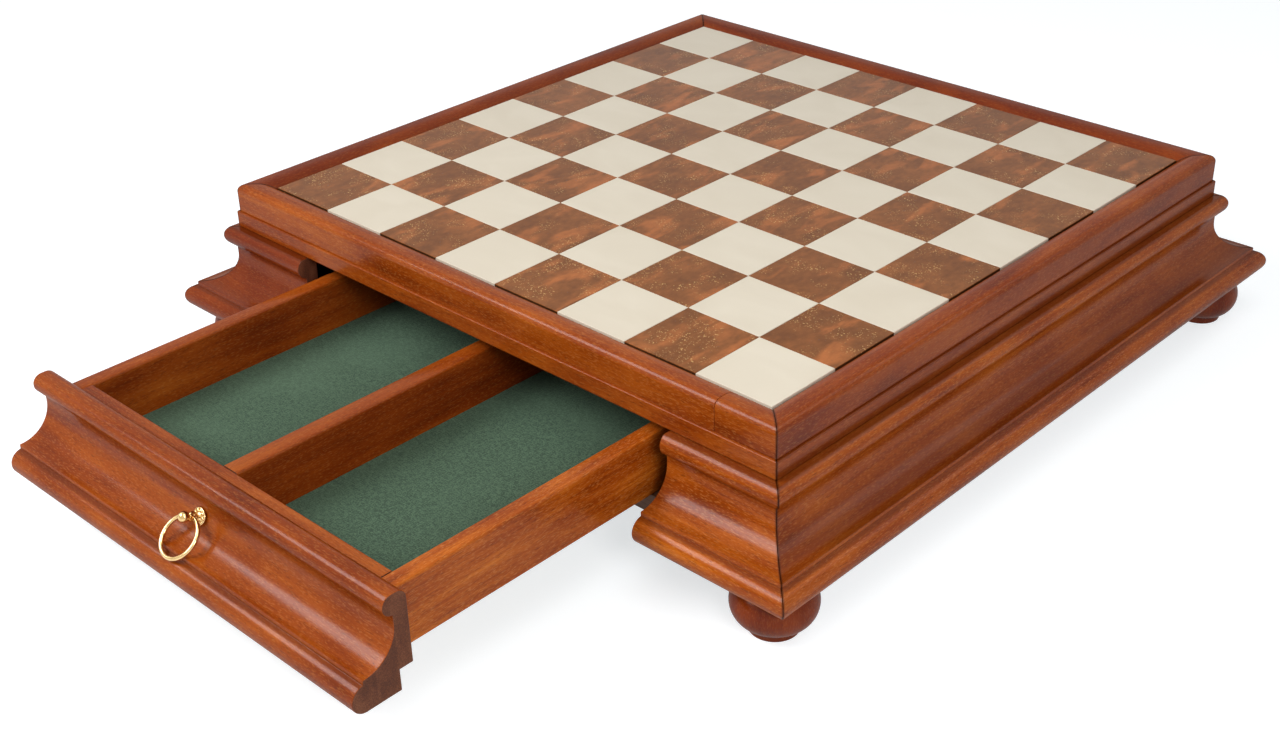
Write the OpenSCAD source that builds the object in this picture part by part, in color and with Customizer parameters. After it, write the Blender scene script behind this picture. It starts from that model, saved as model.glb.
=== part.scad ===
// Chess box with a drawer: a stone board in a moulded wooden top frame, on a
// deep coved base with bun feet. One full-depth drawer slides out of the
// front (-Y) and carries two felt-lined compartments and a brass ring pull.
// The origin is the middle of the case on the surface it stands on, +Z up.
// Outlines are drawn with x as the distance outwards and y as the height.

/* [Playing board] */
// Pitch of the squares, eight each way
square = 38; // [30:0.5:46]
// Joint between neighbouring tiles
tile_joint = 0.1; // [0.05:0.05:0.5]
// Thickness of a stone tile
tile_t = 5; // [3.5:0.5:9]
// Thickness of the slab that the tiles are bonded to
slab_t = 4; // [2:0.5:8]
// Thickness of the plywood panel under the slab
panel_t = 5; // [4:0.5:9]

/* [Top frame] */
// Gap between the tiles and the frame's inner lip
board_gap = 0.8; // [0.3:0.1:2]
// How far the frame's inner lip lies below the tiles
lip_drop = 0.65; // [0.3:0.05:1.5]
// How far the frame's flat top stands above the tiles
crest_rise = 2.35; // [1:0.05:5]
// Width of the ovolo moulding, from its lip to its outer face
ovolo_w = 12.9; // [12:0.1:18]
// Distance from the lip to the start of the flat top
crest_x = 7; // [5:0.1:7.4]
// Radius of the rounded outer shoulder
shoulder_r = 3.5; // [2:0.1:4.5]
// How far the edge band reaches beyond the ovolo
band_step = 1.1; // [0.5:0.1:3]
// Height of the edge band
band_h = 8.1; // [7:0.1:10]
// Radius of the edge band's rounded arrises
band_r = 0.6; // [0.3:0.1:3]
// Height of the ledge that carries the panel
ledge_h = 5.3; // [3:0.1:6.5]
// Width of the ledge that carries the panel
ledge_w = 8.8; // [5:0.1:14]
// Length of the short piece spliced to the front moulding, at its lip
splice_l = 17.3; // [8:0.1:60]

/* [Base moulding] */
// Radius of the bead along the top of the base
head_r = 5.3; // [4.5:0.1:5.8]
// Distance from the back of the moulding to the nose of its top bead
head_w = 10.5; // [9.5:0.1:12]
// How far the back of the moulding stands in from the edge band's outer face
base_inset = 4.8; // [4.2:0.1:6]
// How much of the top bead is planed off where the frame sits on it
head_cut = 0.7; // [0.2:0.1:1.5]
// Thickness of the moulding at its neck
neck_w = 6.45; // [5.5:0.05:7.5]
// Height of the flat neck between the top bead and the cove
neck_h = 4.05; // [1.5:0.05:8]
// Radius of the cove
cove_r = 14.8; // [12:0.1:20]
// How far the fillet reaches beyond the cove
fillet_w = 0.6; // [0.2:0.1:1.5]
// Height of the fillet on the bottom bead
fillet_h = 1.95; // [1:0.05:4]
// Radius of the bottom bead
bead_r = 5.9; // [5:0.1:9]
// Depth of the rebate that holds the bottom panel
rebate_w = 6; // [3:0.1:9]
// Thickness of the bottom panel, and height of its rebate
bottom_t = 9; // [6:0.5:11]
// Clearance around a panel in its rebate
panel_gap = 0.3; // [0.1:0.1:0.6]

/* [Feet] */
// Height of a foot
foot_h = 23; // [22:0.5:40]
// Widest diameter of the bun
bun_w = 35.2; // [31:0.2:38]
// Radius of the bun's rounded side
bun_r = 10.6; // [9.5:0.1:11.2]
// Diameter of the pad that the bun is turned down to
pad_w = 20.8; // [16:0.2:26]
// Height of the pad
pad_h = 3.2; // [1.5:0.1:4]
// Distance from the base's outermost line to the middle of a foot
foot_inset = 21.6; // [20:0.1:24]
// Diameter of the spigot glued into the base
spigot_w = 8; // [5:0.5:10]
// Length of the spigot
spigot_l = 7; // [4:0.5:8]
// Glue clearance around and beyond the spigot
spigot_gap = 0.1; // [0.05:0.05:0.3]

/* [Drawer] */
// How far the drawer stands open
drawer_open = 135; // [20:1:180]
// Width of the moulding left on each side of the drawer, at its back
stub_w = 48.5; // [30:0.5:70]
// Gap at each end of the drawer's moulded front
front_gap = 1; // [0.5:0.1:3]
// Gap between the drawer's moulded front and the top frame
top_gap = 1; // [0.4:0.1:2]
// Clearance under the drawer and over the edge of the bottom panel
run_gap = 0.3; // [0.2:0.1:1]
// How far the drawer's box stands in from each end of its front
box_inset = 8.2; // [5:0.1:16]
// Height of the drawer's sides
side_h = 27; // [22:0.5:30]
// Thickness of the drawer's sides
side_t = 8; // [5:0.5:12]
// Thickness of the board behind the moulded front
inner_front_t = 7.3; // [5:0.1:12]
// Thickness of the drawer's back
back_t = 8; // [5:0.5:12]
// Thickness of the divider between the compartments
divider_t = 9; // [5:0.5:14]
// Thickness of the drawer's floor
floor_t = 2.5; // [2:0.1:5]
// Width of the rebate that holds the drawer's floor
floor_lip = 4; // [2:0.1:4.8]
// Thickness of the felt lining
felt_t = 0.8; // [0.5:0.1:2]
// Gap around the felt lining
felt_gap = 0.3; // [0.1:0.1:1]

/* [Runners] */
// Width of a guide strip beside the drawer
guide_w = 12; // [6:0.5:20]
// Height of a guide strip
guide_h = 14; // [6:0.5:22]
// Gap between a guide strip and the drawer
guide_gap = 0.5; // [0.3:0.1:1]
// Distance from the front of the case to the front end of a guide strip
guide_setback = 22; // [5:1:60]
// Width of a kicker strip over the drawer's side
kicker_w = 12; // [6:0.5:20]
// Gap between a kicker strip and the drawer
kicker_gap = 0.5; // [0.3:0.1:1]
// Length of a stop block, between the shut drawer and the back
stop_l = 24; // [10:0.5:60]
// Width of a stop block
stop_w = 24; // [12:1:40]
// Height of a stop block
stop_h = 18; // [8:1:24]
// Gap left between the shut drawer and its stop blocks
stop_gap = 0.3; // [0.3:0.1:1]

/* [Front screws] */
// Distance from the inside of the drawer's side to the nearer screw
screw_inset = 36; // [12:1:70]
// Height of the screws above the drawer's underside
screw_z = 9; // [7:0.5:14]
// Diameter of a screw's shank
shank_w = 3; // [2:0.1:4]
// Diameter of a screw's countersunk head
screw_head_w = 6; // [4.5:0.1:7]
// Depth of a screw's countersunk head
screw_head_h = 1.8; // [1:0.1:2.5]
// How far a screw reaches into the moulded front
screw_bite = 7; // [4:0.5:9]

/* [Ring pull] */
// How far the pull's stem is tilted up, square to the cove's surface
pull_tilt = 26; // [18:1:34]
// Diameter of the rosette
rosette_w = 7.5; // [6:0.1:10]
// Thickness of the rosette
rosette_t = 1.2; // [0.8:0.1:2]
// Diameter of the stem
stem_w = 4; // [3.8:0.1:5]
// Distance from the wood to the middle of the eye
eye_at = 4.1; // [3.8:0.1:5]
// Diameter of the eye that the ring runs through
eye_w = 2.5; // [2.3:0.1:2.6]
// Diameter of the ball on the end of the stem
ball_w = 4.6; // [4.2:0.1:5.4]
// Distance from the middle of the eye to the middle of the ball
ball_at = 3.8; // [3.6:0.1:5]
// Diameter of the stud that is driven into the wood
stud_w = 3; // [2:0.1:3.4]
// Length of the stud in the wood
stud_l = 6.5; // [4:0.5:8]
// Clearance around the stud and the stem
stud_gap = 0.1; // [0.05:0.05:0.2]
// Diameter of the ring at the middle of its wire
ring_w = 17.5; // [15:0.1:19]
// Diameter of the ring's wire
wire_w = 1.8; // [1.4:0.1:2]
// Clearance between the ring at rest and the fillet it leans on
ring_gap = 0.3; // [0.2:0.1:0.6]

/* [Hidden] */
$fn = 72;
// Overshoot of a cutter beyond the face it cuts
over = 1;

// Plan sizes, as half widths from the middle of the case
field = 4 * square;
lip = field + board_gap;
ovolo_out = lip + ovolo_w;
band_out = ovolo_out + band_step;
ledge_in = lip - ledge_w;
base_in = band_out - base_inset;
head_x = head_w - head_r;
cove_x = neck_w + cove_r;
base_out = base_in + cove_x + bead_r;
reach = base_out + 10;
foot_at = base_out - foot_inset;
splice_x = lip - splice_l;

// Heights within the base moulding, from its underside
fillet_top = 2 * bead_r + fillet_h;
cove_y = fillet_top + cove_r;
head_y = cove_y + neck_h + head_r;
base_h = head_y + head_r - head_cut;

// Heights above the surface that the box stands on
base_z = foot_h;
bottom_top = base_z + bottom_t;
band_z = base_z + base_h;
ovolo_z = band_z + band_h;
panel_z = band_z + ledge_h;
slab_z = panel_z + panel_t;
tile_z = slab_z + slab_t;
board_top = tile_z + tile_t;

// Top moulding, with heights from its underside. Its inner slope is an arc
// that rises from the lip and runs out level at the start of the flat top.
crest_y = board_top + crest_rise - ovolo_z;
lip_y = board_top - lip_drop - ovolo_z;
slope_h = crest_y - lip_y;
slope_r = (pow(crest_x, 2) + pow(slope_h, 2)) / (2 * slope_h);
shoulder_x = ovolo_w - shoulder_r;
shoulder_y = crest_y - shoulder_r;

// Feet
bun_mid = bun_w / 2 - bun_r;
bun_z = pad_h + sqrt(pow(bun_r, 2) - pow(pad_w / 2 - bun_mid, 2));

// Drawer, with its front (y) given as it stands when shut
opening_half = base_in - stub_w;
front_half = opening_half - front_gap;
front_z = base_z + run_gap;
front_top = base_h - run_gap - top_gap;
front_head_r = (front_top - cove_y - neck_h) / 2;
front_head_y = front_top - front_head_r;
box_half = front_half - box_inset;
box_z = bottom_top + run_gap;
box_top = box_z + side_h;
box_front = -base_in;
box_back = base_in - stop_l - stop_gap;
bay_front = box_front + inner_front_t;
bay_back = box_back - back_t;
bay_half = box_half - side_t;
floor_top = box_z + floor_t;

// Ring pull, in the plane across the moulded front: x outwards, y up
foot_of_pull = [cove_x - cove_r * cos(pull_tilt), cove_y - cove_r * sin(pull_tilt)];
rosette_r = rosette_w / 2;
rosette_seat = cove_r - sqrt(pow(cove_r, 2) - pow(rosette_r, 2));
eye = foot_of_pull + eye_at * [cos(pull_tilt), sin(pull_tilt)];
// The ring leans on the fillet's arris: its angle outwards from hanging
arris = [cove_x + fillet_w, fillet_top];
arris_run = norm(arris - eye);
ring_rest = atan2(arris[0] - eye[0], eye[1] - arris[1])
          + asin((wire_w / 2 + ring_gap) / arris_run);

wood = [0.50, 0.24, 0.11];
ply = [0.72, 0.56, 0.38];
brass = [0.86, 0.68, 0.34];

// ---- helpers ----------------------------------------------------------------

// A length of moulding along the front, its outline drawn outwards and up
module stick(length) {
    rotate([0, 0, -90]) rotate([90, 0, 0])
        linear_extrude(height = length, center = true) children();
}

// One side of a mitred frame: side 0 is the front, then right, back and left
module mitred(side) {
    rotate([0, 0, 90 * side])
        intersection() {
            children();
            translate([0, 0, -over])
                linear_extrude(height = board_top + crest_rise + 2 * over)
                    polygon([[0, 0], [reach, -reach], [-reach, -reach]]);
        }
}

// A block given by its low and high corners
module block(low, high) {
    translate(low) cube(high - low);
}

// ---- top frame --------------------------------------------------------------

module ovolo_outline() {
    square([ovolo_w, min(lip_y, shoulder_y)]);
    translate([crest_x, 0]) square([shoulder_x - crest_x, crest_y]);
    translate([shoulder_x, shoulder_y]) circle(shoulder_r);
    intersection() {
        translate([crest_x, crest_y - slope_r]) circle(slope_r);
        square([crest_x, crest_y]);
    }
}

module ovolo_side(side) {
    mitred(side) translate([0, 0, ovolo_z]) stick(2 * reach)
        translate([lip, 0]) ovolo_outline();
}

// Everything on one side of the splice in the front moulding
module beyond_splice() {
    block([splice_x, -reach, 0], [reach, 0, board_top + reach]);
}

module frame_front() {
    color(wood) difference() {
        ovolo_side(0);
        beyond_splice();
    }
}

module frame_front_splice() {
    color(wood) intersection() {
        ovolo_side(0);
        beyond_splice();
    }
}

module band_outline() {
    width = band_out - lip;
    square([width - band_r, band_h]);
    translate([0, band_r]) square([width, band_h - 2 * band_r]);
    for (y = [band_r, band_h - band_r])
        translate([width - band_r, y]) circle(band_r);
    translate([-ledge_w, 0]) square([ledge_w + over, ledge_h]);
}

module band_side(side) {
    color(wood) mitred(side) translate([0, 0, band_z]) stick(2 * reach)
        translate([lip, 0]) band_outline();
}

// ---- playing board ----------------------------------------------------------

// The squares of one colour: parity 0 is dark, and takes the near left corner
module squares(parity) {
    for (i = [0 : 7], j = [0 : 7])
        if ((i + j) % 2 == parity)
            translate([i * square - field + tile_joint / 2,
                       j * square - field + tile_joint / 2, tile_z])
                cube([square - tile_joint, square - tile_joint, tile_t]);
}

module board_slab() {
    color([0.62, 0.60, 0.56])
        block([-field, -field, slab_z], [field, field, tile_z]);
}

module top_panel() {
    half = lip - panel_gap;
    color(ply) block([-half, -half, panel_z], [half, half, slab_z]);
}

// ---- base -------------------------------------------------------------------

// Bead, fillet, cove and neck, up to a given height, with the panel's rebate
module cove_outline(top) {
    difference() {
        union() {
            square([cove_x, 2 * bead_r]);
            translate([cove_x, bead_r]) circle(bead_r);
            square([cove_x + fillet_w, fillet_top]);
            square([cove_x, cove_y]);
            square([neck_w, top]);
        }
        translate([cove_x, cove_y]) circle(cove_r);
        translate([-over, -over]) square([rebate_w + over, bottom_t + over]);
    }
}

module base_outline() {
    cove_outline(head_y);
    intersection() {
        union() {
            translate([head_x, head_y]) circle(head_r);
            translate([0, head_y]) square([head_x, head_r]);
        }
        square([head_x + head_r, base_h]);
    }
}

// Sockets for the spigots of all four feet
module foot_sockets() {
    for (x = [-foot_at, foot_at], y = [-foot_at, foot_at])
        translate([x, y, base_z - over])
            cylinder(h = over + spigot_l + spigot_gap, d = spigot_w + 2 * spigot_gap);
}

module base_side(side) {
    color(wood) difference() {
        mitred(side) translate([0, 0, base_z]) stick(2 * reach)
            translate([base_in, 0]) base_outline();
        foot_sockets();
    }
}

// The front moulding is two stubs, left (-1) and right (1) of the opening
module base_stub(hand) {
    intersection() {
        base_side(0);
        translate([hand * (opening_half + reach / 2), 0, 0])
            block([-reach / 2, -reach, 0], [reach / 2, 0, reach]);
    }
}

module bottom_panel() {
    half = base_in + rebate_w - panel_gap;
    color(ply) difference() {
        block([-half, -half, base_z], [half, half, bottom_top]);
        foot_sockets();
    }
}

// ---- runners: hand is -1 on the left and 1 on the right -----------------------

module guide(hand) {
    inner = box_half + guide_gap;
    color(ply) translate([hand * (inner + guide_w / 2), 0, 0])
        block([-guide_w / 2, box_front + guide_setback, bottom_top],
              [guide_w / 2, base_in, bottom_top + guide_h]);
}

module kicker(hand) {
    half_l = ledge_in - panel_gap;
    color(ply) translate([hand * (box_half - kicker_w / 2), 0, 0])
        block([-kicker_w / 2, -half_l, box_top + kicker_gap],
              [kicker_w / 2, half_l, panel_z]);
}

module stop_block(hand) {
    color(ply) translate([hand * (box_half - stop_w / 2), 0, 0])
        block([-stop_w / 2, box_back + stop_gap, bottom_top],
              [stop_w / 2, base_in, bottom_top + stop_h]);
}

// ---- feet -------------------------------------------------------------------

module foot(side_x, side_y) {
    color(wood) translate([side_x * foot_at, side_y * foot_at, 0])
        rotate_extrude() {
            square([pad_w / 2, pad_h]);
            square([bun_mid, foot_h]);
            intersection() {
                translate([bun_mid, bun_z]) circle(bun_r);
                square([bun_w, foot_h]);
            }
            square([spigot_w / 2, foot_h + spigot_l]);
        }
}

// ---- drawer -----------------------------------------------------------------

// Stands the drawer open by its travel
module opened() {
    translate([0, -drawer_open, 0]) children();
}

// Places a piece of the pull: its z axis runs out of the wood along the stem
module on_stem() {
    translate([0, -base_in - foot_of_pull[0], front_z + foot_of_pull[1]])
        rotate([90 - pull_tilt, 0, 0]) children();
}

module front_outline() {
    cove_outline(front_head_y);
    for (x = [front_head_r, head_w - front_head_r])
        translate([x, front_head_y]) circle(front_head_r);
    translate([front_head_r, front_head_y - front_head_r])
        square([head_w - 2 * front_head_r, 2 * front_head_r]);
}

// Screws from inside the drawer, through the inner board into the moulding
module screws(gap) {
    for (hand = [-1, 1])
        translate([hand * (bay_half - screw_inset), bay_front, box_z + screw_z])
            rotate([90, 0, 0]) {
                cylinder(h = inner_front_t + screw_bite + gap, d = shank_w + 2 * gap);
                cylinder(h = screw_head_h, d1 = screw_head_w + 2 * gap, d2 = shank_w + 2 * gap);
            }
}

module drawer_front() {
    color(wood) opened() difference() {
        translate([0, 0, front_z]) stick(2 * front_half)
            translate([base_in, 0]) front_outline();
        on_stem() translate([0, 0, -stud_l - stud_gap])
            cylinder(h = stud_l + cove_r, d = stud_w + 2 * stud_gap);
        screws(stud_gap);
    }
}

module drawer_inner_front() {
    color(wood) opened() difference() {
        block([-bay_half, box_front, box_z], [bay_half, bay_front, box_top]);
        floor_rebate();
        screws(stud_gap);
    }
}

// The room that the drawer's floor takes from the boards around it
module floor_rebate() {
    block([-bay_half - floor_lip, bay_front - floor_lip, box_z - over],
          [bay_half + floor_lip, bay_back + floor_lip, floor_top]);
}

module drawer_side(hand) {
    color(wood) opened() difference() {
        translate([hand * (box_half - side_t / 2), 0, 0])
            block([-side_t / 2, box_front, box_z], [side_t / 2, box_back, box_top]);
        floor_rebate();
    }
}

module drawer_back() {
    color(wood) opened() difference() {
        block([-bay_half, bay_back, box_z], [bay_half, box_back, box_top]);
        floor_rebate();
    }
}

module drawer_divider() {
    color(wood) opened()
        block([-divider_t / 2, bay_front, floor_top], [divider_t / 2, bay_back, box_top]);
}

module drawer_floor() {
    color(ply) opened()
        block([-bay_half - floor_lip, bay_front - floor_lip, box_z],
              [bay_half + floor_lip, bay_back + floor_lip, floor_top]);
}

module felt(hand) {
    width = bay_half - divider_t / 2 - 2 * felt_gap;
    color([0.16, 0.33, 0.25]) opened()
        translate([hand * (divider_t / 2 + felt_gap + width / 2), 0, 0])
            block([-width / 2, bay_front + felt_gap, floor_top],
                  [width / 2, bay_back - felt_gap, floor_top + felt_t]);
}

module front_screws() {
    color([0.75, 0.75, 0.76]) opened() screws(0);
}

// ---- ring pull --------------------------------------------------------------

module pull_rosette() {
    color(brass) opened() on_stem() translate([0, 0, rosette_seat])
        rotate_extrude() difference() {
            union() {
                square([rosette_r, rosette_t / 2]);
                translate([rosette_r - rosette_t / 2, rosette_t / 2]) circle(rosette_t / 2);
                square([rosette_r - rosette_t / 2, rosette_t]);
            }
            translate([-over, -over])
                square([over + stem_w / 2 + stud_gap, rosette_t + 2 * over]);
        }
}

module pull_post() {
    color(brass) opened() on_stem() difference() {
        union() {
            translate([0, 0, -stud_l]) cylinder(h = stud_l + rosette_t, d = stud_w);
            translate([0, 0, rosette_seat])
                cylinder(h = eye_at + ball_at - rosette_seat, d = stem_w);
            translate([0, 0, eye_at + ball_at]) sphere(d = ball_w);
        }
        translate([0, 0, eye_at]) rotate([0, 90, 0])
            cylinder(h = 2 * stem_w, d = eye_w, center = true);
    }
}

module pull_ring() {
    color(brass) opened()
        translate([0, -base_in - eye[0], front_z + eye[1]])
            rotate([-ring_rest, 0, 0]) translate([0, 0, -ring_w / 2])
                rotate([90, 0, 0]) rotate_extrude()
                    translate([ring_w / 2, 0]) circle(d = wire_w, $fn = 32);
}

// ---- nodes ------------------------------------------------------------------

frame_front();
frame_front_splice();
color(wood) ovolo_side(1);  // frame_right
color(wood) ovolo_side(2);  // frame_back
color(wood) ovolo_side(3);  // frame_left
band_side(0);  // band_front
band_side(1);  // band_right
band_side(2);  // band_back
band_side(3);  // band_left
color([0.38, 0.22, 0.13]) squares(0);  // dark_squares
color([0.90, 0.88, 0.81]) squares(1);  // light_squares
board_slab();
top_panel();
base_side(1);  // base_right
base_side(2);  // base_back
base_side(3);  // base_left
base_stub(-1);  // base_front_left
base_stub(1);  // base_front_right
bottom_panel();
guide(-1);  // guide_left
guide(1);  // guide_right
kicker(-1);  // kicker_left
kicker(1);  // kicker_right
stop_block(-1);  // stop_left
stop_block(1);  // stop_right
foot(-1, -1);  // foot_front_left
foot(1, -1);  // foot_front_right
foot(-1, 1);  // foot_back_left
foot(1, 1);  // foot_back_right
drawer_front();
drawer_inner_front();
drawer_side(-1);  // drawer_side_left
drawer_side(1);  // drawer_side_right
drawer_back();
drawer_divider();
drawer_floor();
felt(-1);  // felt_left
felt(1);  // felt_right
front_screws();
pull_rosette();
pull_post();
pull_ring();
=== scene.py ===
# Looks of a chess box: a stone board in a moulded hardwood frame, on a coved base with
# bun feet, with a felt-lined drawer and a brass ring pull. All sizes are in metres.

import math
import random

import bmesh
import bpy
from mathutils import Matrix, Vector


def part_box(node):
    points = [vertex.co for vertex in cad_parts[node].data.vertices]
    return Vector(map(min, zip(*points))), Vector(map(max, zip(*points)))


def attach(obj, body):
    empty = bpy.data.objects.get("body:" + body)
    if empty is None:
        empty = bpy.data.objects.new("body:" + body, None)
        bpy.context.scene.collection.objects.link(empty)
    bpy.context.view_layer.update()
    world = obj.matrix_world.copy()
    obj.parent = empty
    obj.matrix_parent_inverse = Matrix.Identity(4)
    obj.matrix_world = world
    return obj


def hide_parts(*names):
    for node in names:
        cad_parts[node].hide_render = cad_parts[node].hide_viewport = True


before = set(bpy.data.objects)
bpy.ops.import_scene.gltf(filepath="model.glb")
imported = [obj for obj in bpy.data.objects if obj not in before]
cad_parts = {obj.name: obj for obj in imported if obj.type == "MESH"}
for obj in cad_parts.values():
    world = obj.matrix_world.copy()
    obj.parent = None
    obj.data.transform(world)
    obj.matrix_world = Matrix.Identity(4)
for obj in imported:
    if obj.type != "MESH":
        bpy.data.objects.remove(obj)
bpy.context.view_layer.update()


# ---- Base mouldings ----------------------------------------------------------------
# Five lengths of deep coved moulding in red-brown stained hardwood: a bead, a fillet,
# the cove, a flat neck and a round top. They are mitred and glued at the corners, and
# the front length is cut through for the drawer, which leaves a stub at each end.

bead_r = 0.0059
fillet_w = 0.0006
cove_r = 0.0148
neck_w = 0.00645
neck_h = 0.00405
head_r = 0.0053
head_w = 0.0105
head_cut = 0.0007
rebate_w = 0.006
rebate_h = 0.009
arris = 0.0003
joint_gap = 0.00012

base_low, base_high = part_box("base_back")
base_in = base_low.y
base_z = base_low.z
base_h = base_high.z - base_low.z
cove_x = neck_w + cove_r
head_x = head_w - head_r
head_y = base_h + head_cut - head_r
cove_y = head_y - head_r - neck_h
fillet_top = cove_y - cove_r
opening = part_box("base_front_right")[0].x
rough_end = base_in * 1.5

arc_step = 5
sharp_turn = math.radians(32)
flat_turn = math.radians(25)
flat_share = 20

wood_tones = [(0.32, (0.13, 0.018, 0.002)), (0.46, (0.26, 0.045, 0.003)),
              (0.58, (0.37, 0.080, 0.006)), (0.70, (0.50, 0.135, 0.012))]
fleck_gold = (0.60, 0.23, 0.055)
pore_brown = (0.07, 0.015, 0.004)
painted_crease_shade = (0.09, 0.016, 0.003)
painted_hollow_shade = (0.10, 0.018, 0.003)
mitre_stain = (0.035, 0.008, 0.002)
end_tones = [(0.3, (0.05, 0.016, 0.008)), (0.5, (0.115, 0.036, 0.016)),
             (0.7, (0.21, 0.080, 0.038))]
crease_w = 0.0010
mitre_w = 0.0012
hollow_edge = 0.0004
grain_depth = 0.00006
sawn_depth = 0.0001

# The heights of the creases, which are darkened as painted shade, where in the wood's
# figure the first length is cut, how much darker each length is drawn, which on the
# front left stub is painted shade and on the front right stub, below zero, painted
# light, and how much painted shade lies low in the cove of stubs and sides.
base_creases = (base_z + 2 * bead_r, base_z + cove_y + neck_h, base_z + base_h)
base_cut = 0.3
base_dark = {"front_left": 0.65, "front_right": -0.15, "right": 0.05, "back": 0.05, "left": 0.05}
stub_cove_shade = 0.15
side_cove_shade = 0.55


class Wire:
    """One socket of a material, so that shader maths reads as plain sums."""

    def __init__(self, tree, socket=None):
        self.tree = tree
        self.socket = socket

    def node(self, kind, settings=None, inputs=None, output=0):
        """Adds a node: its settings are set first, then its inputs get values or links."""
        made = self.tree.nodes.new("ShaderNode" + kind)
        for name, value in (settings or {}).items():
            if name == "stops":
                elements = made.color_ramp.elements
                elements[0].position = value[0][0]
                elements[1].position = value[-1][0]
                for position, _ in value[1:-1]:
                    elements.new(position)
                for element, (_, colour) in zip(elements, value):
                    element.color = (*colour, 1)
            else:
                setattr(made, name, value)
        for name, value in (inputs or {}).items():
            if isinstance(value, Wire):
                self.tree.links.new(value.socket, made.inputs[name])
            else:
                made.inputs[name].default_value = value
        return Wire(self.tree, made.outputs[output])

    def math(self, operation, *others):
        """A Math node on this value and the others."""
        inputs = dict(enumerate((self, *others)))
        return self.node("Math", {"operation": operation}, inputs)

    def __add__(self, other):
        return self.math("ADD", other)

    def __sub__(self, other):
        return self.math("SUBTRACT", other)

    def __rsub__(self, other):
        return self.node("Math", {"operation": "SUBTRACT"}, {0: other, 1: self})

    def __mul__(self, other):
        return self.math("MULTIPLY", other)

    __radd__ = __add__
    __rmul__ = __mul__

    def fade(self, low, high):
        """0 below low, 1 above high, and a smooth ramp between them."""
        settings = {"interpolation_type": "SMOOTHSTEP"}
        return self.node("MapRange", settings, {0: self, 1: low, 2: high})

    def mix(self, low, high):
        """The colour low where this is 0, and high where it is 1."""
        low, high = (end if isinstance(end, Wire) else (*end, 1) for end in (low, high))
        return self.node("Mix", {"data_type": "RGBA"}, {0: self, 6: low, 7: high}, 2)

    def ramp(self, stops):
        """The colour for this value among stops, which are pairs of a value and a colour."""
        return self.node("ValToRGB", {"stops": stops}, {0: self})

    def axis(self, number):
        """One of these coordinates: 0 is X, 1 is Y and 2 is Z."""
        return self.node("SeparateXYZ", inputs={0: self}, output=number)

    def moved(self, shift):
        """These coordinates, moved to another part of a pattern."""
        return self.node("VectorMath", {"operation": "ADD"}, {0: self, 1: shift})

    def cloud(self, stretch, detail=2.0, distortion=0.0):
        """Noise on these coordinates, with stretch blotches to the metre on each axis."""
        scaled = self.node("Mapping", inputs={"Vector": self, "Scale": stretch})
        inputs = {"Vector": scaled, "Scale": 1.0, "Detail": detail, "Distortion": distortion}
        return self.node("TexNoise", inputs=inputs)

    def bump(self, depth):
        """A surface that stands this many metres proud where the value is 1."""
        return self.node("Bump", inputs={"Height": self, "Distance": depth, "Strength": 1.0})

    def into(self, shader, socket):
        """Feeds this to a socket of the shader."""
        self.tree.links.new(self.socket, shader.inputs[socket])


def finish(name, surface):
    """A new material, its shader, and a wire that carries the object's own coordinates."""
    material = bpy.data.materials.new(name)
    material.use_nodes = True
    shader = material.node_tree.nodes["Principled BSDF"]
    for socket, value in surface.items():
        shader.inputs[socket].default_value = value
    place = Wire(material.node_tree).node("TexCoord", output=3)
    return material, shader, place


def mahogany(name, along, cut, dark=0.0, creases=(), mitred=False, hollow=None):
    """Stained hardwood under satin varnish.

    along is the axis that its grain follows, cut moves the figure, so that no two
    lengths look the same, and dark deepens it: painted shade on some lengths, and
    painted light where it is below zero. The creases, which are given as heights, are
    darkened as painted shade, and stain has gathered in the mitres. A hollow is given as
    two heights and a share: painted shade is deepest at the first height, by that
    share, and fades out towards the second.
    """
    varnish = {"IOR": 1.5, "Specular IOR Level": 0.0, "Coat Weight": 0.33,
               "Coat Roughness": 0.19}
    material, shader, place = finish(name, varnish)
    turn = {"X": (0, 0, 0), "Y": (0, 0, -math.pi / 2), "Z": (0, math.pi / 2, 0)}[along]
    plank = place.node("Mapping", inputs={"Vector": place, "Rotation": turn})
    plank = plank.moved((cut * 1.7, cut * 0.31, cut * 0.47))
    figure = plank.cloud((9, 70, 70), 3.0, 0.8)
    blotch = plank.cloud((28, 45, 45))
    streak = plank.cloud((26, 620, 620))
    fleck = plank.cloud((500, 2200, 2200), 1.0).fade(0.50, 0.72)
    pore = plank.cloud((330, 3300, 3300), 1.0).fade(0.60, 0.70)
    tone = figure * 0.44 + blotch * 0.30 + streak * (0.26 * (1 - dark)) + 0.13 * dark
    depth = (1 - 0.6 * dark, 1 - 0.85 * dark, 1 - 0.85 * dark)
    colour = tone.ramp([(at, [part * kept for part, kept in zip(shade, depth)])
                        for at, shade in wood_tones])
    colour = (fleck * 0.28 * (1 - dark)).mix(colour, fleck_gold)
    colour = (pore * 0.45).mix(colour, pore_brown)
    height = place.axis(2)
    # Painted shade: darker along each crease.
    for crease in creases:
        crease_shade_mask = (height - crease).math("ABSOLUTE").fade(crease_w, crease_w / 5)
        colour = (crease_shade_mask * (0.3 + streak * 0.5)).mix(colour, painted_crease_shade)
    # Painted shade: darker low in the hollow.
    if hollow:
        lowest, highest, share = hollow
        hollow_shade_mask = height.fade(highest, lowest) * height.fade(lowest - hollow_edge, lowest)
        colour = (hollow_shade_mask * share).mix(colour, painted_hollow_shade)
    if mitred:
        off = (place.axis(0).math("ABSOLUTE") - place.axis(1).math("ABSOLUTE")).math("ABSOLUTE")
        colour = (off.fade(mitre_w, mitre_w / 4) * 0.65).mix(colour, mitre_stain)
    colour.into(shader, "Base Color")
    (0.33 + streak * 0.16).into(shader, "Roughness")
    (streak * 0.4 - pore * 0.6).bump(grain_depth).into(shader, "Normal")
    return material


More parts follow.
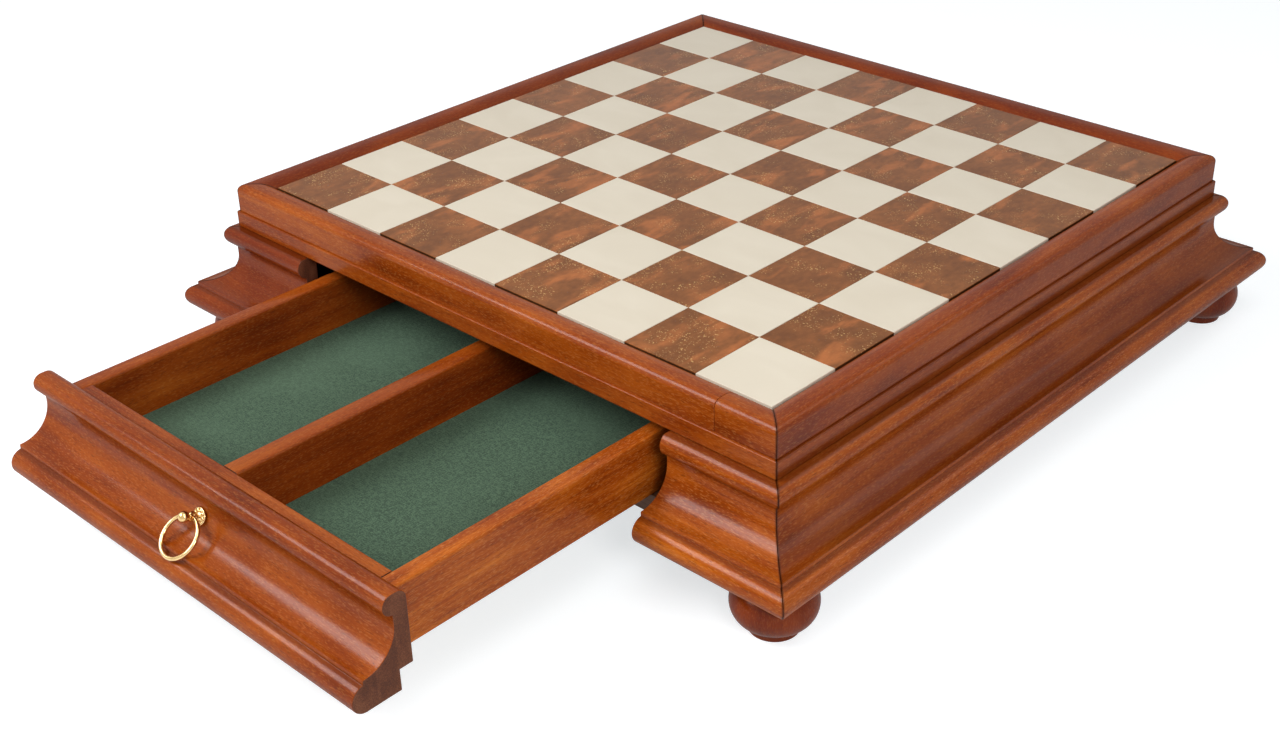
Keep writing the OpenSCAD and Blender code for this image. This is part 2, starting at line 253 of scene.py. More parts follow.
def end_grain(name, cut):
    """The sawn and stained end of a length, which drinks the stain and stays dull."""
    material, shader, place = finish(name, {"IOR": 1.5, "Specular IOR Level": 0.2})
    block = place.moved((cut, cut * 0.6, cut * 0.3))
    ring = block.cloud((160, 160, 60), 2.0, 0.5)
    pore = block.cloud((2600, 2600, 2600), 1.0)
    (ring * 0.5 + pore * 0.5).ramp(end_tones).into(shader, "Base Color")
    (0.55 + pore * 0.2).into(shader, "Roughness")
    pore.bump(sawn_depth).into(shader, "Normal")
    return material


def trace(start, *steps):
    """An outline across a length of wood, with x outwards and z up, as one face.

    A step of two numbers is a straight line to that point. A step of three is an arc
    about a point, through an angle in degrees that is positive anticlockwise. It has a
    corner every arc_step degrees or so.
    """
    mesh = bmesh.new()
    first = tip = mesh.verts.new((start[0], 0, start[1]))
    for step in steps:
        if len(step) == 2:
            tip = bmesh.ops.extrude_vert_indiv(mesh, verts=[tip])["verts"][0]
            tip.co = step[0], 0, step[1]
        else:
            x, z, degrees = step
            spun = bmesh.ops.spin(
                mesh, geom=[tip], cent=(x, 0, z), axis=(0, -1, 0),
                angle=math.radians(degrees), steps=max(4, round(abs(degrees) / arc_step)))
            tip = spun["geom_last"][0]
    mesh.edges.new((tip, first))
    bmesh.ops.contextual_create(mesh, geom=mesh.edges[:])
    return mesh


def run_off(mesh, start, end):
    """Runs the outline off as a length along the front, from x = start to x = end."""
    across = Matrix.Rotation(math.radians(-90), 4, "Z")
    bmesh.ops.transform(mesh, matrix=across, verts=mesh.verts)
    bmesh.ops.translate(mesh, vec=(start, 0, 0), verts=mesh.verts)
    run = bmesh.ops.extrude_face_region(mesh, geom=mesh.faces[:])["geom"]
    moved = [v for v in run if isinstance(v, bmesh.types.BMVert)]
    bmesh.ops.translate(mesh, vec=(end - start, 0, 0), verts=moved)
    bmesh.ops.recalc_face_normals(mesh, faces=mesh.faces)


def saw(mesh, point, normal):
    """Cuts off what lies beyond a plane, and closes the cut."""
    everything = mesh.verts[:] + mesh.edges[:] + mesh.faces[:]
    cut = bmesh.ops.bisect_plane(
        mesh, geom=everything, plane_co=point, plane_no=normal, clear_outer=True)
    edges = [e for e in cut["geom_cut"] if isinstance(e, bmesh.types.BMEdge)]
    bmesh.ops.contextual_create(mesh, geom=edges)


def mitre(mesh, *hands):
    """Saws the right (1) or left (-1) end of a front length along the mitre."""
    for hand in hands:
        saw(mesh, (0, -joint_gap, 0), (hand, 1, 0))


def full_length(mesh):
    """Runs the outline off past both corners of the front, and mitres both ends."""
    run_off(mesh, -rough_end, rough_end)
    mitre(mesh, -1, 1)


def ease(mesh, width):
    """Rounds every sharp arris."""
    sharp = [e for e in mesh.edges
             if len(e.link_faces) == 2 and e.calc_face_angle() > sharp_turn]
    bmesh.ops.bevel(
        mesh, geom=sharp, offset=width, offset_type="OFFSET", segments=2,
        profile=0.5, affect="EDGES", material=-1, clamp_overlap=True)


def turned(mesh, side):
    """Turns a front length to its side: 0 front, 1 right, 2 back, 3 left, 4 front again."""
    quarter = Matrix.Rotation(math.radians(90 * side), 4, "Z")
    bmesh.ops.transform(mesh, matrix=quarter, verts=mesh.verts)


def grain_on(side):
    """The axis that a length on this side runs along, and its grain with it."""
    return "Y" if side % 2 else "X"


def settle(mesh, name, body, slot, materials, node, ends=None):
    """Makes the piece in place of its node, and seats it on its body.

    An edge stays sharp where it turns far or borders a face much wider than its
    neighbour, so that flats shade flat up to their rounded arrises. The ends, which
    face along the axis of that name, get the second material.
    """
    for edge in mesh.edges:
        if len(edge.link_faces) == 2:
            narrow, wide = sorted(face.calc_area() for face in edge.link_faces)
            edge.smooth = edge.calc_face_angle() < flat_turn and wide < flat_share * narrow
    if ends:
        for face in mesh.faces:
            face.material_index = int(abs(face.normal["XYZ".index(ends)]) > 0.9)
    data = bpy.data.meshes.new(name)
    mesh.to_mesh(data)
    mesh.free()
    data.shade_smooth()
    for material in materials:
        data.materials.append(material)
    piece = bpy.data.objects.new(name, data)
    bpy.context.scene.collection.objects.link(piece)
    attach(piece, body)
    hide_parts(node)
    return piece


def arc_angle(radius, rise):
    """The angle in degrees at which a circle of this radius has this rise."""
    return math.degrees(math.asin(rise / radius))


def cove_steps(back):
    """The rebate, bead, fillet and cove, up to the neck, from a back plane."""
    reach = back + cove_x
    bead_end = arc_angle(bead_r, math.sqrt(bead_r ** 2 - fillet_w ** 2))
    return [(back + rebate_w, base_z + rebate_h), (back + rebate_w, base_z),
            (reach, base_z), (reach, base_z + bead_r, 90 + bead_end),
            (reach + fillet_w, base_z + fillet_top), (reach, base_z + fillet_top),
            (reach, base_z + cove_y, -90)]


def base_outline():
    """The base moulding, with its round top planed flat under the edge band."""
    neck = arc_angle(head_r, math.sqrt(head_r ** 2 - (neck_w - head_x) ** 2))
    shoulder = arc_angle(head_r, base_h - head_y)
    neck_top = base_z + head_y - head_r * math.sin(math.radians(neck))
    return trace(
        (base_in, base_z + rebate_h), *cove_steps(base_in),
        (base_in + neck_w, neck_top),
        (base_in + head_x, base_z + head_y, neck + shoulder),
        (base_in, base_z + base_h))


for side, place in enumerate(["front_right", "right", "back", "left", "front_left"]):
    mesh = base_outline()
    if place.startswith("front"):
        hand = 1 if place == "front_right" else -1
        run_off(mesh, *sorted((hand * opening, hand * rough_end)))
        mitre(mesh, hand)
        cove_shade = stub_cove_shade
    else:
        full_length(mesh)
        cove_shade = side_cove_shade
    ease(mesh, arris)
    turned(mesh, side)
    # Painted shade low in the cove and along the creases.
    cove = (base_z + fillet_top, base_z + cove_y, cove_shade)
    wood = mahogany("base_wood_" + place, grain_on(side), base_cut + side, base_dark[place],
                    base_creases, mitred=True, hollow=cove)
    woods = [wood, end_grain("base_end_" + place, side)]
    settle(mesh, "base_moulding_" + place, "case", "mahogany", woods, "base_" + place,
           grain_on(side))


# ---- Feet --------------------------------------------------------------------------
# Four turned bun feet in the same stained wood, each turned down to a flat pad at the
# bottom. A spigot on top of each is glued into the corner of the base.

bun_r = 0.0106
bun_mid = 0.007
pad_r = 0.0104
pad_h = 0.0032
pad_arris = 0.0006
bun_dark = 0.7

bun_z = pad_h + math.sqrt(bun_r ** 2 - (pad_r - bun_mid) ** 2)
foot_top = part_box("bottom_panel")[0].z
bun_start = arc_angle(bun_r, bun_z - pad_h)
bun_end = arc_angle(bun_r, foot_top - bun_z)

lathe_steps = 64
# Points less than a hair apart are one point.
hair = 1e-6


def foot_outline():
    """Half of a foot, from the middle of its pad out and up to the base."""
    return trace(
        (0, 0), (pad_r - pad_arris, 0), (pad_r - pad_arris, pad_arris, 90), (pad_r, pad_h),
        (bun_mid, bun_z, bun_start + bun_end), (0, foot_top))


def lathe(mesh):
    """Turns an outline about the upright axis."""
    bmesh.ops.delete(mesh, geom=mesh.faces[:], context="FACES_ONLY")
    axis_edges = [e for e in mesh.edges if all(abs(v.co.x) < hair for v in e.verts)]
    bmesh.ops.delete(mesh, geom=axis_edges, context="EDGES")
    bmesh.ops.spin(
        mesh, geom=mesh.verts[:] + mesh.edges[:], cent=(0, 0, 0), axis=(0, 0, 1),
        angle=math.tau, steps=lathe_steps, use_merge=True)
    bmesh.ops.remove_doubles(mesh, verts=mesh.verts, dist=hair)
    bmesh.ops.recalc_face_normals(mesh, faces=mesh.faces)


for foot in ("front_left", "front_right", "back_left", "back_right"):
    low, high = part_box("foot_" + foot)
    mesh = foot_outline()
    lathe(mesh)
    middle = (low + high) / 2
    bmesh.ops.translate(mesh, vec=(middle.x, middle.y, 0), verts=mesh.verts)
    wood = mahogany("foot_wood_" + foot, "Z", middle.x * 9 + middle.y * 5, bun_dark)
    settle(mesh, "bun_foot_" + foot, "case", "mahogany", [wood], "foot_" + foot)


# ---- Edge band ---------------------------------------------------------------------
# A flat band with rounded arrises that runs round the case under the top moulding. Its
# ledge, out of sight inside, carries the panel that the stone lies on.

band_r = 0.0006
ledge_w = 0.0088
ledge_h = 0.0053
band_cut = 7.3
band_dark = 0.35
band_under_shade = 0.6

band_low, band_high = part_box("band_back")
band_in = band_low.y + ledge_w
band_out = band_high.y
band_z = band_low.z
band_top = band_high.z


def band_outline():
    """The band, with the ledge at its foot on the inside."""
    return trace(
        (band_in - ledge_w, band_z), (band_out - band_r, band_z),
        (band_out - band_r, band_z + band_r, 90), (band_out, band_top - band_r),
        (band_out - band_r, band_top - band_r, 90), (band_in, band_top),
        (band_in, band_z + ledge_h), (band_in - ledge_w, band_z + ledge_h))


for side, place in enumerate(["front", "right", "back", "left"]):
    mesh = band_outline()
    full_length(mesh)
    ease(mesh, arris)
    turned(mesh, side)
    # Painted shade in the creases of every band, and low on each band but the front's.
    creases, hollow = (band_z, band_top), (band_z, band_top, band_under_shade)
    if place == "front":
        creases, hollow = (band_z,), None
    wood = mahogany("band_wood_" + place, grain_on(side), band_cut + side, band_dark, creases,
                    mitred=True, hollow=hollow)
    settle(mesh, "edge_band_" + place, "case", "mahogany", [wood], "band_" + place)


# ---- Top moulding ------------------------------------------------------------------
# An ovolo that rises from the stone in a short curved slope to a narrow flat top, with a
# rounded outer shoulder. Four mitred lengths; the front one is pieced out near its right
# end with a butt joint.

slope_w = 0.007
shoulder_r = 0.0035
lip_drop = 0.00065

ovolo_low, ovolo_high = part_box("frame_back")
lip = ovolo_low.y
ovolo_out = ovolo_high.y
ovolo_z = ovolo_low.z
ovolo_top = ovolo_high.z
splice_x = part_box("frame_front_splice")[0].x
board_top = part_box("light_squares")[1].z
ovolo_cut = 14.9
# How much darker each length is drawn: the deep values on the left and back are painted shade.
ovolo_dark = {"front": 0.15, "front_splice": 0.15, "right": 0.4, "left": 0.65, "back": 0.65}


def ovolo_outline():
    """The top moulding, with its slope down to the stone on the inside."""
    slope_h = ovolo_top - board_top + lip_drop
    slope_r = (slope_w ** 2 + slope_h ** 2) / (2 * slope_h)
    return trace(
        (lip, ovolo_z), (ovolo_out, ovolo_z), (ovolo_out, ovolo_top - shoulder_r),
        (ovolo_out - shoulder_r, ovolo_top - shoulder_r, 90), (lip + slope_w, ovolo_top),
        (lip + slope_w, ovolo_top - slope_r, arc_angle(slope_r, slope_w)))


for side, place in enumerate(["front", "right", "back", "left", "front_splice"]):
    mesh = ovolo_outline()
    if place == "front":
        run_off(mesh, -rough_end, splice_x - joint_gap)
        mitre(mesh, -1)
    elif place == "front_splice":
        run_off(mesh, splice_x + joint_gap, rough_end)
        mitre(mesh, 1)
    else:
        full_length(mesh)
    ease(mesh, arris / 2)
    turned(mesh, side)
    # Painted shade in the crease at the foot of every length but the front's.
    creases = () if place.startswith("front") else (ovolo_z,)
    wood = mahogany("top_wood_" + place, grain_on(side), ovolo_cut + side, ovolo_dark[place],
                    creases, mitred=True)
    settle(mesh, "top_moulding_" + place, "case", "mahogany", [wood], "frame_" + place)


# ---- Stone squares -----------------------------------------------------------------
# 32 tiles of brown and 32 of cream alabaster, ground flush and polished, with their top
# arrises just taken off. Each is cut from another place in the block.

square = 0.038
ranks = 8
tile_arris = 0.00018
side_shade_start = 0.0001
side_shade_full = 0.0004
tile_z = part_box("light_squares")[0].z
tile_gap = ranks * square - (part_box("dark_squares")[1].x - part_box("dark_squares")[0].x)

brown_tones = [(0.35, (0.155, 0.055, 0.017)), (0.5, (0.205, 0.072, 0.021)),
               (0.65, (0.265, 0.093, 0.027))]
patch_orange = (0.46, 0.145, 0.040)
speck_gold = (0.72, 0.46, 0.17)
pit_brown = (0.06, 0.025, 0.012)
painted_side_shade = (0.030, 0.012, 0.006)
cream_tones = [(0.3, (0.655, 0.585, 0.468)), (0.7, (0.690, 0.622, 0.505))]
cream_grain = (0.62, 0.58, 0.48)


def in_block(place):
    """Coordinates that tell where in the block of stone each tile was cut."""
    return place.node("Attribute", {"attribute_name": "block_place"}, output=1)


def brown_stone():
    """Brown alabaster with orange patches, gold specks in swarms, dark pits, and painted shade
    down its sides.
    """
    material, shader, place = finish("brown_stone", {"IOR": 1.5, "Specular IOR Level": 0.07})
    block = in_block(place)
    cloud = block.cloud((60, 45, 60), 3.0, 0.4)
    patch = block.cloud((95, 34, 60), 3.0, 0.5).fade(0.50, 0.70)
    swarm = block.cloud((90, 90, 90)).fade(0.46, 0.64)
    speck = block.cloud((1250, 1250, 1250), 1.0).fade(0.62, 0.70)
    mottle = block.cloud((420, 260, 400), 3.0)
    pit = block.cloud((700, 700, 700), 1.0).fade(0.30, 0.24)
    colour = (cloud * 0.6 + mottle * 0.4).ramp(brown_tones)
    colour = (patch * (0.25 + mottle * 0.8)).mix(colour, patch_orange)
    colour = (speck * swarm * 0.7).mix(colour, speck_gold)
    colour = (pit * 0.5).mix(colour, pit_brown)
    # Painted shade: the sides of the tiles are drawn dark below the top.
    side_shade = place.axis(2).fade(board_top - side_shade_start, board_top - side_shade_full)
    (side_shade * 0.85).mix(colour, painted_side_shade).into(shader, "Base Color")
    (0.20 + pit * 0.25).into(shader, "Roughness")
    return material


def cream_stone():
    """Even cream alabaster with faint clouds."""
    material, shader, place = finish(
        "cream_stone", {"IOR": 1.5, "Specular IOR Level": 0.07, "Roughness": 0.28})
    block = in_block(place)
    colour = block.cloud((26, 40, 36), 2.0, 0.8).ramp(cream_tones)
    grain = block.cloud((500, 500, 500), 1.0).fade(0.5, 0.7)
    (grain * 0.05).mix(colour, cream_grain).into(shader, "Base Color")
    return material


def one_tile(mesh, middle, shift):
    """Adds one tile with eased top arrises, and notes its place in the stone block.

    The corners that have no place in the block yet are those of the new tile.
    """
    made = bmesh.ops.create_cube(mesh, size=1.0)["verts"]
    size = (square - tile_gap, square - tile_gap, board_top - tile_z)
    bmesh.ops.scale(mesh, vec=size, verts=made)
    half_way = (board_top + tile_z) / 2
    bmesh.ops.translate(mesh, vec=(*middle, half_way), verts=made)
    top = [e for e in mesh.edges if all(v in made and v.co.z > half_way for v in e.verts)]
    bmesh.ops.bevel(
        mesh, geom=top, offset=tile_arris, offset_type="OFFSET", segments=2,
        profile=0.5, affect="EDGES", material=-1)
    block = mesh.verts.layers.float_vector["block_place"]
    for vertex in mesh.verts:
        if vertex[block].length == 0:
            vertex[block] = vertex.co + Vector(shift)


draw = random.Random(64)
for colour, parity, material in (("dark", 0, brown_stone()), ("light", 1, cream_stone())):
    mesh = bmesh.new()
    mesh.verts.layers.float_vector.new("block_place")
    for file in range(ranks):
        for rank in range(ranks):
            if (file + rank) % 2 == parity:
                middle = [(step - (ranks - 1) / 2) * square for step in (file, rank)]
                shift = [draw.uniform(1, 9) for _ in range(3)]
                one_tile(mesh, middle, shift)
    settle(mesh, colour + "_tiles", "case", colour + "_stone", [material], colour + "_squares")


# ---- Panels and runners ------------------------------------------------------------
# The slab under the tiles, the panels, guides and kickers round the drawer, which are
# drawn nearly black as painted shade, the pale stops behind it and the drawer's own
# plywood floor. They are hardly seen.

sanded_depth = 0.0001
slab_tones = (0.36, 0.34, 0.30), (0.52, 0.50, 0.45)


def plain_wood(name, along, pale, deep):
    """Sanded wood without varnish."""
    material, shader, place = finish(name, {"IOR": 1.45})
    broad = {"X": (8, 90, 90), "Y": (90, 8, 90)}[along]
    fine = {"X": (60, 1500, 1500), "Y": (1500, 60, 1500)}[along]
    figure = place.cloud(broad, 3.0, 0.7) * 0.6 + place.cloud(fine) * 0.4
    figure.fade(0.35, 0.65).mix(deep, pale).into(shader, "Base Color")
    (0.5 + figure * 0.2).into(shader, "Roughness")
    figure.bump(sanded_depth).into(shader, "Normal")
    return material


def slab_stone():
    """The pale ground stone that the tiles are bedded on."""
    material, shader, place = finish("stone_backing", {"IOR": 1.5})
    place.cloud((200, 200, 200)).fade(0.3, 0.7).mix(*slab_tones).into(shader, "Base Color")
    return material


plywood = plain_wood("plywood", "X", (0.62, 0.44, 0.26), (0.50, 0.33, 0.18))
softwood = plain_wood("softwood", "Y", (0.66, 0.49, 0.29), (0.55, 0.37, 0.20))
# Painted shade: the panels, guides and kickers inside the case are drawn nearly black.
shaded_panel_wood = plain_wood("painted_shade_panel", "X", (0.13, 0.050, 0.020), (0.07, 0.025, 0.010))

inside = {"board_slab": slab_stone(), "top_panel": shaded_panel_wood, "bottom_panel": shaded_panel_wood,
          "drawer_floor": plywood}
for hand in ("left", "right"):
    inside["guide_" + hand] = inside["kicker_" + hand] = shaded_panel_wood
    inside["stop_" + hand] = softwood
for name, material in inside.items():
    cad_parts[name].material_slots[0].material = material


# ---- Drawer front ------------------------------------------------------------------
# A length of the base moulding with a full round top, screwed to the drawer's box from
# inside. Its sawn ends show the moulding's outline in dark end grain.

front_low, front_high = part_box("drawer_front")
front_in = -front_high.y
front_z = front_low.z
front_h = front_high.z - front_low.z
front_head_r = (front_h - cove_y - neck_h) / 2
# The creases of the drawer's front are darkened as painted shade.
front_creases = (front_z + 2 * bead_r, front_z + cove_y + neck_h)


def front_outline():
    """The drawer's front, with its round top whole."""
    lift = front_z - base_z
    nose = front_in + head_w - front_head_r
    over_neck = front_in + neck_w - nose
    neck = arc_angle(front_head_r, math.sqrt(front_head_r ** 2 - over_neck ** 2))
    head = front_z + front_h - front_head_r
    steps = [(s[0], s[1] + lift, *s[2:]) for s in cove_steps(front_in)]
    return trace(
        (front_in, base_z + rebate_h + lift), *steps,
        (front_in + neck_w, head - front_head_r * math.sin(math.radians(neck))),
        (nose, head, neck + 90), (front_in + front_head_r, head + front_head_r),
        (front_in + front_head_r, head, 90))


mesh = front_outline()
run_off(mesh, front_low.x, front_high.x)
ease(mesh, arris)
woods = [mahogany("drawer_front_wood", "X", cut=21.4, dark=0.3, creases=front_creases),
         end_grain("drawer_front_end", cut=3.3)]
settle(mesh, "drawer_front_moulding", "drawer", "mahogany", woods, "drawer_front", "X")


# ---- Drawer box --------------------------------------------------------------------
# Boards of the same stained wood: two sides, the board behind the moulded front, the
# back, and a divider down the middle. Their top arrises are rounded over by hand.

top_round = 0.0011


def board(name, along, cut, dark):
    """A board as large as its CAD node, rounded over along the top."""
    low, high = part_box(name)
    mesh = bmesh.new()
    bmesh.ops.create_cube(mesh, size=1.0)
    bmesh.ops.scale(mesh, vec=high - low, verts=mesh.verts)
    bmesh.ops.translate(mesh, vec=(low + high) / 2, verts=mesh.verts)
    axis = "XYZ".index(along)
    top = [e for e in mesh.edges if all(v.co.z > high.z - hair for v in e.verts)
           and abs(e.verts[1].co[axis] - e.verts[0].co[axis]) > hair]
    bmesh.ops.bevel(
        mesh, geom=top, offset=top_round, offset_type="OFFSET", segments=4,
        profile=0.5, affect="EDGES", material=-1)
    ease(mesh, arris)
    woods = [mahogany(name + "_wood", along, cut, dark), end_grain(name + "_end", cut)]
    settle(mesh, name + "_board", "drawer", "mahogany", woods, name, along)


# The left side and the divider are drawn darker as painted shade inside the drawer; the right
# side is drawn lighter, below zero, as painted light on its outer face.
board("drawer_side_left", "Y", cut=31.2, dark=0.4)
board("drawer_side_right", "Y", cut=32.6, dark=-0.4)
board("drawer_divider", "Y", cut=33.9, dark=0.4)
board("drawer_inner_front", "X", cut=35.1, dark=0.3)
board("drawer_back", "X", cut=36.7, dark=0.3)


# ---- Felt --------------------------------------------------------------------------
# Dark green baize glued to the floor of the two compartments. The nap is short, so a
# fine weave and pale fibres show through it.

felt_rise = 0.00012
felt_wave_x = 140
felt_wave_y = 90
nap_depth = 0.0003
baize_deep = (0.018, 0.038, 0.022)
baize_nap = (0.075, 0.131, 0.076)
baize_worn = (0.10, 0.168, 0.105)


def baize(name, cut):
    """Wool baize: crossed threads under loose fibres, a little paler where it is worn."""
    fluff = {"IOR": 1.4, "Roughness": 0.95, "Sheen Weight": 0.25, "Sheen Roughness": 0.5,
             "Sheen Tint": (0.55, 0.85, 0.65, 1)}
    material, shader, place = finish(name, fluff)
    cloth = place.moved((cut, cut * 0.7, 0))
    warp = cloth.cloud((1700, 450, 700), 1.0)
    weft = cloth.cloud((450, 1700, 700), 1.0)
    fibre = cloth.cloud((2000, 2000, 2000))
    worn = cloth.cloud((18, 22, 20), 3.0)
    weave = warp * 0.25 + weft * 0.25 + fibre * 0.5
    colour = weave.fade(0.40, 0.62).mix(baize_deep, baize_nap)
    (worn.fade(0.4, 0.7) * 0.25).mix(colour, baize_worn).into(shader, "Base Color")
    weave.bump(nap_depth).into(shader, "Normal")
    return material


for hand, cut in (("left", 2.0), ("right", 5.0)):
    low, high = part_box("felt_" + hand)
    mesh = bmesh.new()
    bmesh.ops.create_grid(mesh, x_segments=30, y_segments=90, size=0.5)
    bmesh.ops.scale(mesh, vec=(high.x - low.x, high.y - low.y, 1), verts=mesh.verts)
    bmesh.ops.translate(
        mesh, vec=((low.x + high.x) / 2, (low.y + high.y) / 2, high.z - felt_rise),
        verts=mesh.verts)
    for vertex in mesh.verts:
        x, y, _ = vertex.co
        sway = math.sin(x * felt_wave_x + cut) * math.sin(y * felt_wave_y + cut)
        vertex.co.z += felt_rise * 0.5 * sway
    thickness = high.z - felt_rise * 1.5 - low.z
    bmesh.ops.solidify(mesh, geom=mesh.faces[:], thickness=thickness)
    bmesh.ops.recalc_face_normals(mesh, faces=mesh.faces)
    piece = settle(mesh, "felt_lining_" + hand, "drawer", "green_felt",
                   [baize("baize_" + hand, cut)], "felt_" + hand)


# ---- Ring pull and screws ----------------------------------------------------------
# A polished brass ring that swings in the eye of a turned, ball-ended post, over a small
# petalled rosette. Two steel screws are sunk into the board behind the drawer's front.

pull_tilt = math.radians(26)
rosette_r = 0.00375
rosette_bore = 0.0021
rim_r = 0.00045
dome_h = 0.00108
petals = 9
petal_half = (0.0009, 0.00078, 0.0005)
petal_in = 0.00085
petal_up = 0.0007
collar_r = 0.0018
collar_h = 0.0009
neck_r = 0.0011
neck_up = 0.0014
eye_at = 0.0041
eye_r = 0.00175
eye_wire = 0.00055
ball_r = 0.0023
ball_at = 0.0038
buff_depth = 0.00001

rosette_seat = cove_r - math.sqrt(cove_r ** 2 - rosette_r ** 2)
foot_of_pull = Vector((0, -(front_in + cove_x - cove_r * math.cos(pull_tilt)),
                       front_z + cove_y - cove_r * math.sin(pull_tilt)))
along_stem = Matrix.Translation(foot_of_pull) @ Matrix.Rotation(math.pi / 2 - pull_tilt, 4, "X")


def metal(name, pale, deep, roughness):
    """Polished metal with a faint smear over it."""
    material, shader, place = finish(name, {"Metallic": 1.0, "IOR": 1.5})
    smear = place.cloud((240, 240, 240), 3.0)
    smear.fade(0.3, 0.7).mix(pale, deep).into(shader, "Base Color")
    (roughness + smear * 0.12).into(shader, "Roughness")
    place.cloud((900, 900, 900), 1.0).bump(buff_depth).into(shader, "Normal")
    return material


def turned_rosette():
    """A domed disc with a rounded rim, and a ring of petals just inside the rim."""
    rim = rosette_r - rim_r
    mesh = trace(
        (rosette_bore, rosette_seat), (rim, rosette_seat), (rim, rosette_seat + rim_r, 180),
        (rim - rim_r, rosette_seat + rim_r), (rosette_bore, rosette_seat + dome_h))
    lathe(mesh)
    for number in range(petals):
        sphere = bmesh.ops.create_uvsphere(mesh, u_segments=20, v_segments=12, radius=1.0)
        swell = Matrix.Diagonal((*petal_half, 1))
        out = Matrix.Translation((rim - petal_in, 0, rosette_seat + petal_up))
        turn = Matrix.Rotation(math.tau * number / petals, 4, "Z")
        bmesh.ops.transform(mesh, matrix=turn @ out @ swell, verts=sphere["verts"])
    return mesh


def turned_post():
    """The neck on its collar, the eye, and the ball on the far side of the eye."""
    eye_low = eye_at - eye_r
    mesh = trace(
        (0, rosette_seat), (collar_r, rosette_seat), (collar_r, rosette_seat + collar_h),
        (neck_r, rosette_seat + neck_up), (neck_r, eye_low), (0, eye_low))
    lathe(mesh)
    ball = bmesh.ops.create_uvsphere(mesh, u_segments=48, v_segments=32, radius=ball_r)
    bmesh.ops.translate(mesh, vec=(0, 0, eye_at + ball_at), verts=ball["verts"])
    wire = bmesh.ops.create_circle(mesh, segments=20, radius=eye_wire)["verts"]
    upright = Matrix.Translation((0, 0, eye_at + eye_r)) @ Matrix.Rotation(math.pi / 2, 4, "X")
    bmesh.ops.transform(mesh, matrix=upright, verts=wire)
    loop = wire + list({edge for vertex in wire for edge in vertex.link_edges})
    bmesh.ops.spin(
        mesh, geom=loop, cent=(0, 0, eye_at), axis=(1, 0, 0), angle=math.tau, steps=48,
        use_merge=True)
    bmesh.ops.recalc_face_normals(mesh, faces=mesh.faces)
    return mesh


brass = metal("polished_brass", (0.82, 0.59, 0.29), (0.64, 0.42, 0.18), roughness=0.08)
steel = metal("screw_steel", (0.62, 0.62, 0.63), (0.50, 0.50, 0.52), roughness=0.25)
for mesh, kind in ((turned_rosette(), "rosette"), (turned_post(), "post")):
    bmesh.ops.transform(mesh, matrix=along_stem, verts=mesh.verts)
    settle(mesh, "turned_" + kind, "drawer", "polished_brass", [brass], "pull_" + kind)
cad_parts["pull_ring"].material_slots[0].material = brass
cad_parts["front_screws"].material_slots[0].material = steel


# ---- Room --------------------------------------------------------------------------
# A pale floor, a white surround and four soft lamps: a strong one at the front left, and
# weaker ones above the right, at the front right and behind the right.

floor_half = 8.0
floor_grey = (0.55, 0.55, 0.55, 1)
floor_glow = 0.7
floor_white = (0.94, 0.98, 1.0)
surround_level = 0.7
overhead_loss = 0.58
overhead_band = (0.38, 0.56)
right_loss = 0.45
right_band = (0.2, 0.9)


def white_for(wire):
    """1 for the camera, for a reflection and for what is seen through glass."""
    kinds = ("Is Camera Ray", "Is Glossy Ray", "Is Transmission Ray")
    seen, mirrored, through = (wire.node("LightPath", output=kind) for kind in kinds)
    return (seen + mirrored + through).math("MINIMUM", 1.0)


def white_paper():
    """Grey to the lamps, so that it throws little light back, and white to the eye."""
    material, shader, place = finish(
        "white_paper", {"Base Color": floor_grey, "Roughness": 1.0,
                        "Specular IOR Level": 0.0, "Emission Strength": floor_glow})
    white_for(place).mix((0.0, 0.0, 0.0), floor_white).into(shader, "Emission Color")
    return material


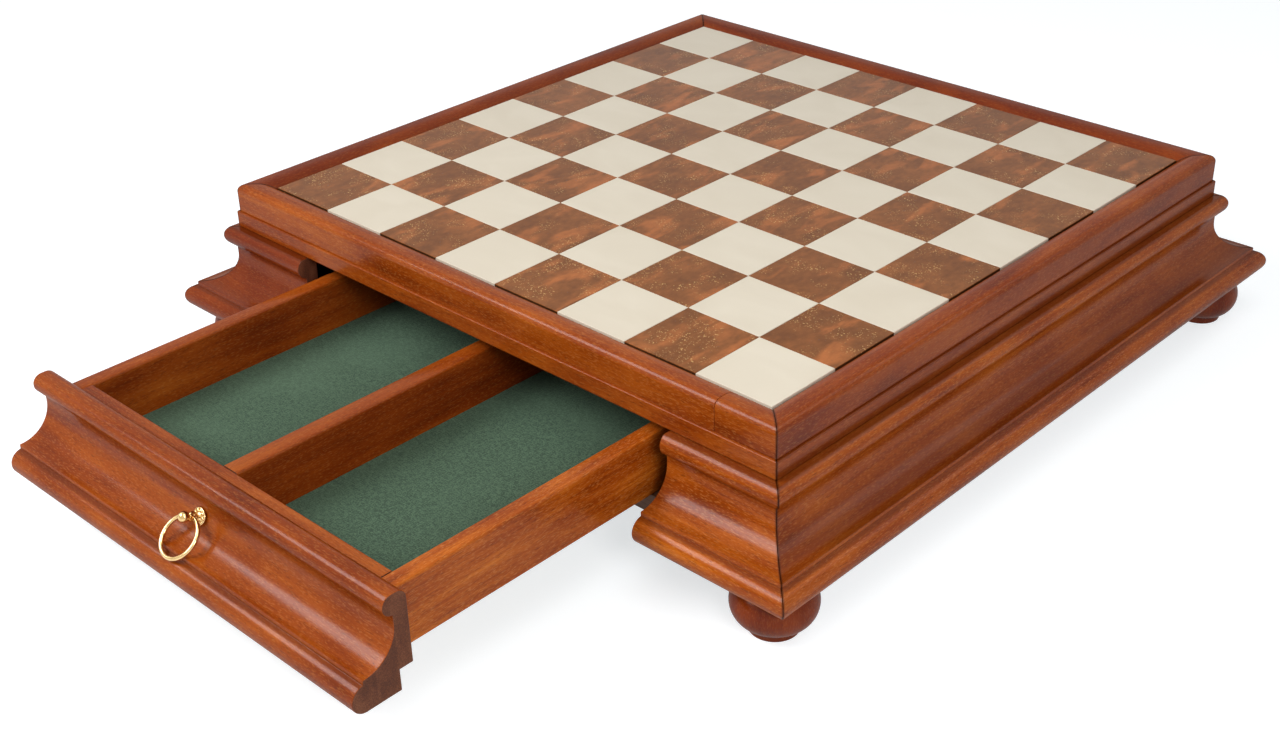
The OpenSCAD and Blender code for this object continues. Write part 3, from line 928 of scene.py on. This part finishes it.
def surround():
    """A world that looks white, but lights the object less from above and the right."""
    world = bpy.data.worlds.new("surround")
    world.use_nodes = True
    towards = Wire(world.node_tree).node("TexCoord", output=0)
    overhead = towards.axis(2).fade(*overhead_band) * overhead_loss
    to_right = towards.axis(0).fade(*right_band) * right_loss
    light = (surround_level - overhead) * (1 - to_right)
    background = world.node_tree.nodes["Background"]
    background.inputs["Color"].default_value = (1.0, 1.0, 1.0, 1)
    (light + (1 - light) * white_for(towards)).into(background, "Strength")
    return world


def softbox(name, place, target, width, height, power):
    """A soft rectangular lamp, in watts, that faces its target."""
    data = bpy.data.lights.new(name, "AREA")
    data.shape = "RECTANGLE"
    data.size = width
    data.size_y = height
    data.energy = power
    lamp = bpy.data.objects.new(name, data)
    bpy.context.scene.collection.objects.link(lamp)
    lamp.location = place
    aim = Vector(target) - Vector(place)
    lamp.rotation_euler = aim.to_track_quat("-Z", "Y").to_euler()


mesh = bmesh.new()
bmesh.ops.create_grid(mesh, x_segments=1, y_segments=1, size=floor_half)
data = bpy.data.meshes.new("floor")
mesh.to_mesh(data)
mesh.free()
data.materials.append(white_paper())
floor = bpy.data.objects.new("floor", data)
bpy.context.scene.collection.objects.link(floor)

bpy.context.scene.world = surround()
bpy.context.scene.view_settings.view_transform = "Standard"

softbox("key_lamp", (0.4, -0.25, 0.95), (0.05, -0.05, 0.05), width=0.6, height=0.5, power=3.0)
softbox("left_lamp", (-0.52, -0.88, 0.85), (0.1, -0.15, 0.05), width=0.75, height=0.5, power=12.0)
softbox("back_lamp", (0.75, 0.75, 0.8), (0.15, 0, 0.05), width=0.5, height=0.4, power=0.8)
softbox("right_lamp", (0.78, -0.50, 0.55), (0.15, -0.14, 0.05), width=0.3, height=0.25, power=3.1)


# ---- Camera ------------------------------------------------------------------------
# It looks down over the front right corner. Its angles are in degrees: its tilt up from
# straight down, its lean to one side, and its turn to the left.

camera_place = (0.49932, -0.57850, 0.41822)
camera_tilt = 60.138
camera_lean = 0.908
camera_turn = 42.737

camera_data = bpy.data.cameras.new("camera")
camera_data.sensor_width = 36.0
camera_data.lens = 48.77
camera_data.shift_x = -0.0195
camera_data.clip_start = 0.01
camera = bpy.data.objects.new("camera", camera_data)
bpy.context.scene.collection.objects.link(camera)
camera.location = camera_place
camera.rotation_euler = [math.radians(a) for a in (camera_tilt, camera_lean, camera_turn)]
bpy.context.scene.camera = camera
